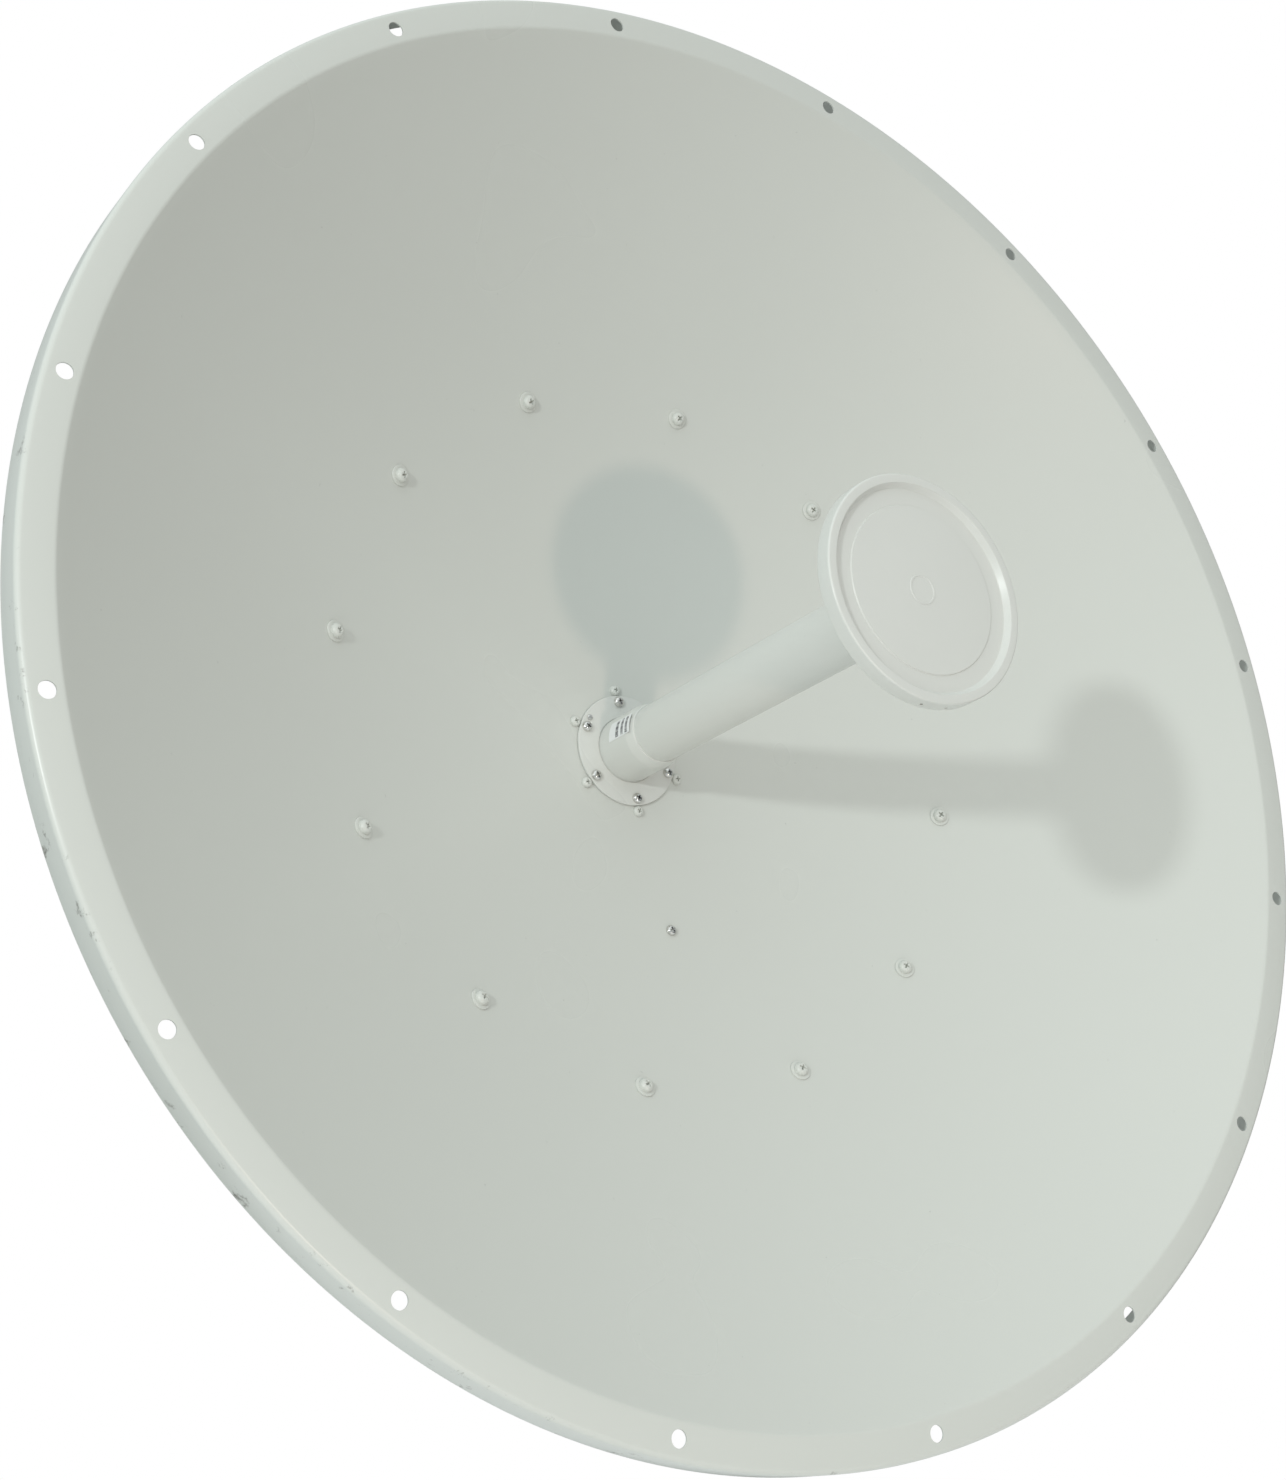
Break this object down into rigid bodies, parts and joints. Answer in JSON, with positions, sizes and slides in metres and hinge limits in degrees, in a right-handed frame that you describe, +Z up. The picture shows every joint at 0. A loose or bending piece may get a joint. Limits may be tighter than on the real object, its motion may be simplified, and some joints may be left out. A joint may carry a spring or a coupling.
{
  "type": "parabolic dish antenna",
  "caption": "Round parabolic dish antenna with a central front feed and flat cap, on an adjustable bracket that clamps to a vertical pole.",
  "frame": {"origin": "on the axis of the pole, midway between the two clamps", "axes": "+Z up along the pole, -Y the way the dish looks, +X to the right of someone who faces the dish"},
  "size_m": [1.05, 0.656, 1.05],
  "materials": {
    "dish_paint": "gloss powder coat, warm white",
    "painted_screws": "gloss white paint on steel",
    "zinc_fasteners": "zinc plated",
    "bright_screws": "bright stainless",
    "cast_aluminium": "sand cast, satin",
    "feed_metal": "satin, white coated",
    "bare_aluminium": "bare, satin",
    "gasket_rubber": "matte black",
    "cap_plastic": "semi-gloss moulded plastic",
    "dielectric": "matte white",
    "label_film": "satin printed film",
    "plated_brass": "gold plated",
    "galvanised": "hot-dip galvanised"
  },
  "bodies": {
    "pole_bracket": {"pole_bracket": "galvanised", "turn_bolts": "zinc_fasteners", "turn_washers": "zinc_fasteners", "turn_nuts": "zinc_fasteners", "upper_saddle": "cast_aluminium", "lower_saddle": "cast_aluminium", "clamp_bolts": "zinc_fasteners"},
    "yoke": {"yoke": "galvanised", "tilt_bolts": "zinc_fasteners", "tilt_washers": "zinc_fasteners", "tilt_nuts": "zinc_fasteners"},
    "dish": {"arm_bolts": "zinc_fasteners", "arm_nuts": "zinc_fasteners", "arm_washers": "zinc_fasteners", "back_ring": "dish_paint", "bracket_screws": "zinc_fasteners", "cap_back_shell": "cap_plastic", "coax_jacks": "plated_brass", "dielectric_plug": "dielectric", "feed_cap": "cap_plastic", "feed_flange": "feed_metal", "feed_gasket": "gasket_rubber", "feed_label": "label_film", "feed_screws": "bright_screws", "feed_tube": "feed_metal", "foot_nut": "zinc_fasteners", "foot_screw": "bright_screws", "hub": "cast_aluminium", "hub_screws": "painted_screws", "jack_insulators": "dielectric", "left_arm": "dish_paint", "locating_screw": "bright_screws", "probe_pins": "plated_brass", "radio_bracket": "galvanised", "reflector": "dish_paint", "right_arm": "dish_paint", "ring_nuts": "zinc_fasteners", "ring_screws": "painted_screws", "ring_washers": "painted_screws", "splash_plate": "bare_aluminium", "transition": "cast_aluminium", "transition_screws": "zinc_fasteners", "waveguide": "bare_aluminium"},
    "upper_jaw": {"upper_jaw": "cast_aluminium", "upper_jaw_washers": "zinc_fasteners", "upper_jaw_nuts": "zinc_fasteners"},
    "lower_jaw": {"lower_jaw": "cast_aluminium", "lower_jaw_washers": "zinc_fasteners", "lower_jaw_nuts": "zinc_fasteners"}
  },
  "joints": [
    {"name": "turn", "type": "hinge", "parent": "pole_bracket", "child": "yoke", "pos_m": [0, -0.08, 0], "axis": [0, 0, 1], "range_deg": [-15, 15]},
    {"name": "tilt", "type": "hinge", "parent": "yoke", "child": "dish", "pos_m": [0, -0.138, 0], "axis": [-1, 0, 0], "range_deg": [-25, 25]},
    {"name": "upper_jaw_slide", "type": "slide", "parent": "pole_bracket", "child": "upper_jaw", "axis": [0, 1, 0], "range_m": [0, 0.02]},
    {"name": "lower_jaw_slide", "type": "slide", "parent": "pole_bracket", "child": "lower_jaw", "axis": [0, 1, 0], "range_m": [0, 0.02]}
  ]
}
